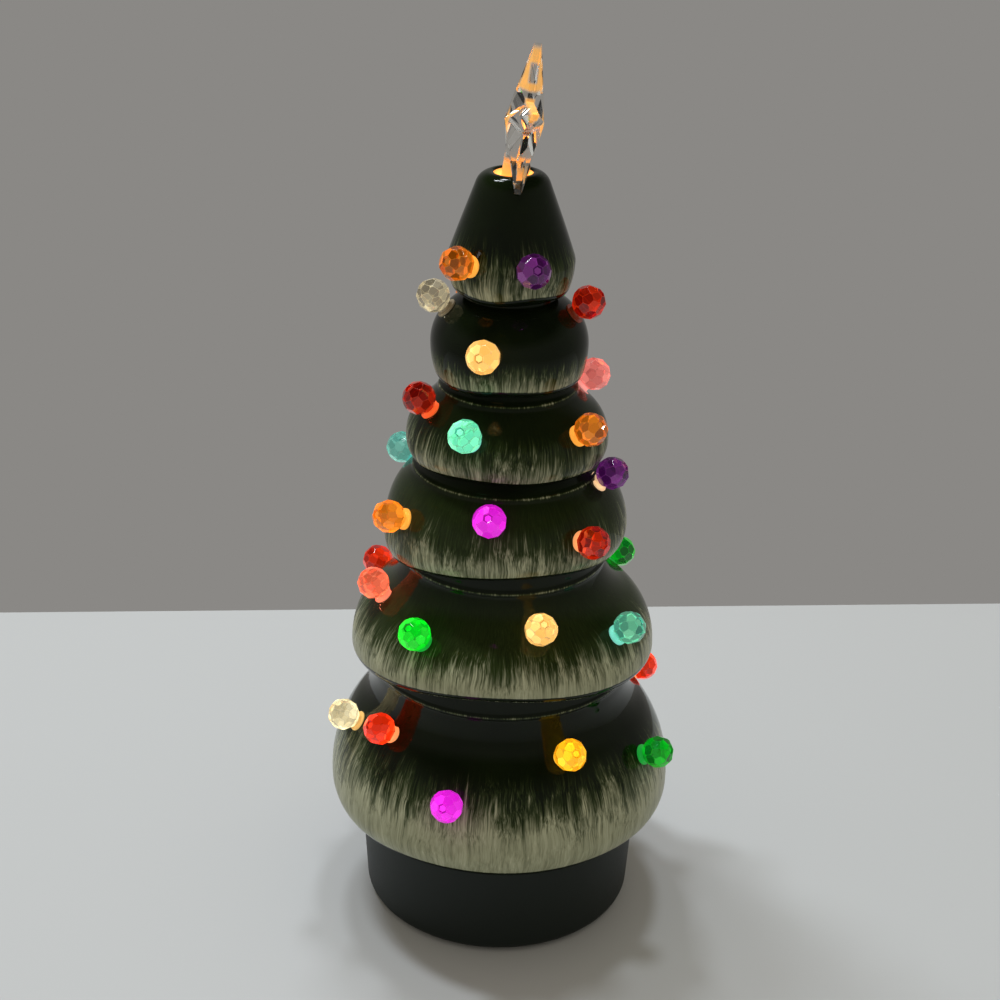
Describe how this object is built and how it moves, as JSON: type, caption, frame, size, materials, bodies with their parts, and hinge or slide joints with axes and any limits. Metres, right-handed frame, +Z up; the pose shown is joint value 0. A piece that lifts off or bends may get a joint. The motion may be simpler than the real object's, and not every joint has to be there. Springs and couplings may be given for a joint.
{
  "type": "lighted ceramic christmas tree",
  "caption": "Glazed ceramic christmas tree with push-in faceted bulbs and a clear star, standing on a round battery base that lights it from inside",
  "frame": {"origin": "middle of the footprint, on the floor under the foot pads", "axes": "+Z up through the tip of the tree, front of the tree towards -Y, +X to the viewer's right"},
  "size_m": [0.1156, 0.1244, 0.2926],
  "materials": {
    "green_glaze": "near-black green gloss glaze with pale sage dry-brushed lips",
    "clear_plastic": "clear moulded acrylic, polished",
    "base_plastic": "fine satin charcoal",
    "zinc_screw": "zinc plated",
    "pad_rubber": "matt",
    "cell_jacket": "plain satin jacket",
    "contact_metal": "nickel plated",
    "switch_plastic": "satin",
    "board_laminate": "solder resist",
    "led_lens": "clear epoxy",
    "frosted_plastic": "frosted",
    "wire_red": "extruded sleeve",
    "wire_black": "extruded sleeve",
    "bulb_orange": "translucent moulded plastic, lit from inside",
    "bulb_purple": "translucent moulded plastic, lit from inside",
    "bulb_green": "translucent moulded plastic, lit from inside",
    "bulb_blue": "translucent moulded plastic, lit from inside",
    "bulb_clear": "translucent moulded plastic, lit from inside",
    "bulb_warm": "translucent moulded plastic, lit from inside",
    "bulb_red": "translucent moulded plastic, lit from inside",
    "bulb_dark_red": "translucent moulded plastic, lit from inside",
    "bulb_turquoise": "translucent moulded plastic, lit from inside",
    "bulb_pink": "translucent moulded plastic, lit from inside",
    "bulb_teal": "translucent moulded plastic, lit from inside",
    "bulb_magenta": "translucent moulded plastic, lit from inside",
    "bulb_coral": "translucent moulded plastic, lit from inside",
    "bulb_yellow": "translucent moulded plastic, lit from inside"
  },
  "bodies": {
    "base": {"base_housing": "base_plastic", "base_plate": "base_plastic", "base_screws": "zinc_screw", "foot_pads": "pad_rubber", "battery_cell_1": "cell_jacket", "battery_cell_2": "cell_jacket", "battery_cell_3": "cell_jacket", "positive_contacts": "contact_metal", "negative_contacts": "contact_metal", "switch_body": "switch_plastic", "led_board": "board_laminate", "board_screws": "zinc_screw", "leds": "led_lens", "light_cover": "frosted_plastic", "wires_red": "wire_red", "wire_black": "wire_black"},
    "tree": {"tree_shell": "green_glaze", "tier1_bulb_1": "bulb_orange", "tier1_bulb_2": "bulb_purple", "tier1_bulb_3": "bulb_green", "tier1_bulb_4": "bulb_blue", "tier2_bulb_1": "bulb_clear", "tier2_bulb_2": "bulb_warm", "tier2_bulb_3": "bulb_red", "tier2_bulb_4": "bulb_green", "tier2_bulb_5": "bulb_orange", "tier3_bulb_1": "bulb_dark_red", "tier3_bulb_2": "bulb_turquoise", "tier3_bulb_3": "bulb_orange", "tier3_bulb_4": "bulb_pink", "tier3_bulb_5": "bulb_red", "tier3_bulb_6": "bulb_blue", "tier4_bulb_1": "bulb_teal", "tier4_bulb_2": "bulb_orange", "tier4_bulb_3": "bulb_magenta", "tier4_bulb_4": "bulb_red", "tier4_bulb_5": "bulb_purple", "tier4_bulb_6": "bulb_warm", "tier4_bulb_7": "bulb_green", "tier5_bulb_1": "bulb_red", "tier5_bulb_2": "bulb_coral", "tier5_bulb_3": "bulb_green", "tier5_bulb_4": "bulb_warm", "tier5_bulb_5": "bulb_turquoise", "tier5_bulb_6": "bulb_green", "tier5_bulb_7": "bulb_purple", "tier6_bulb_1": "bulb_clear", "tier6_bulb_2": "bulb_red", "tier6_bulb_3": "bulb_magenta", "tier6_bulb_4": "bulb_yellow", "tier6_bulb_5": "bulb_green", "tier6_bulb_6": "bulb_red", "tier6_bulb_7": "bulb_turquoise", "tier6_bulb_8": "bulb_orange", "tier6_bulb_9": "bulb_pink"},
    "star": {"star_topper": "clear_plastic"},
    "door": {"battery_door": "base_plastic"},
    "knob": {"switch_knob": "switch_plastic"}
  },
  "joints": [
    {"name": "battery_door_hinge", "type": "hinge", "parent": "base", "child": "door", "pos_m": [0, 0.02785, 0.0022], "axis": [1, 0, 0], "range_deg": [0, 95]},
    {"name": "lift_off_tree", "type": "slide", "parent": "base", "child": "tree", "axis": [0, 0, 1], "range_m": [0, 0.07]},
    {"name": "star_swivel", "type": "hinge", "parent": "tree", "child": "star", "pos_m": [0, 0, 0.2546], "axis": [0, 0, 1], "continuous": true},
    {"name": "switch_slide", "type": "slide", "parent": "base", "child": "knob", "axis": [1, 0, 0], "range_m": [-0.004, 0]}
  ]
}
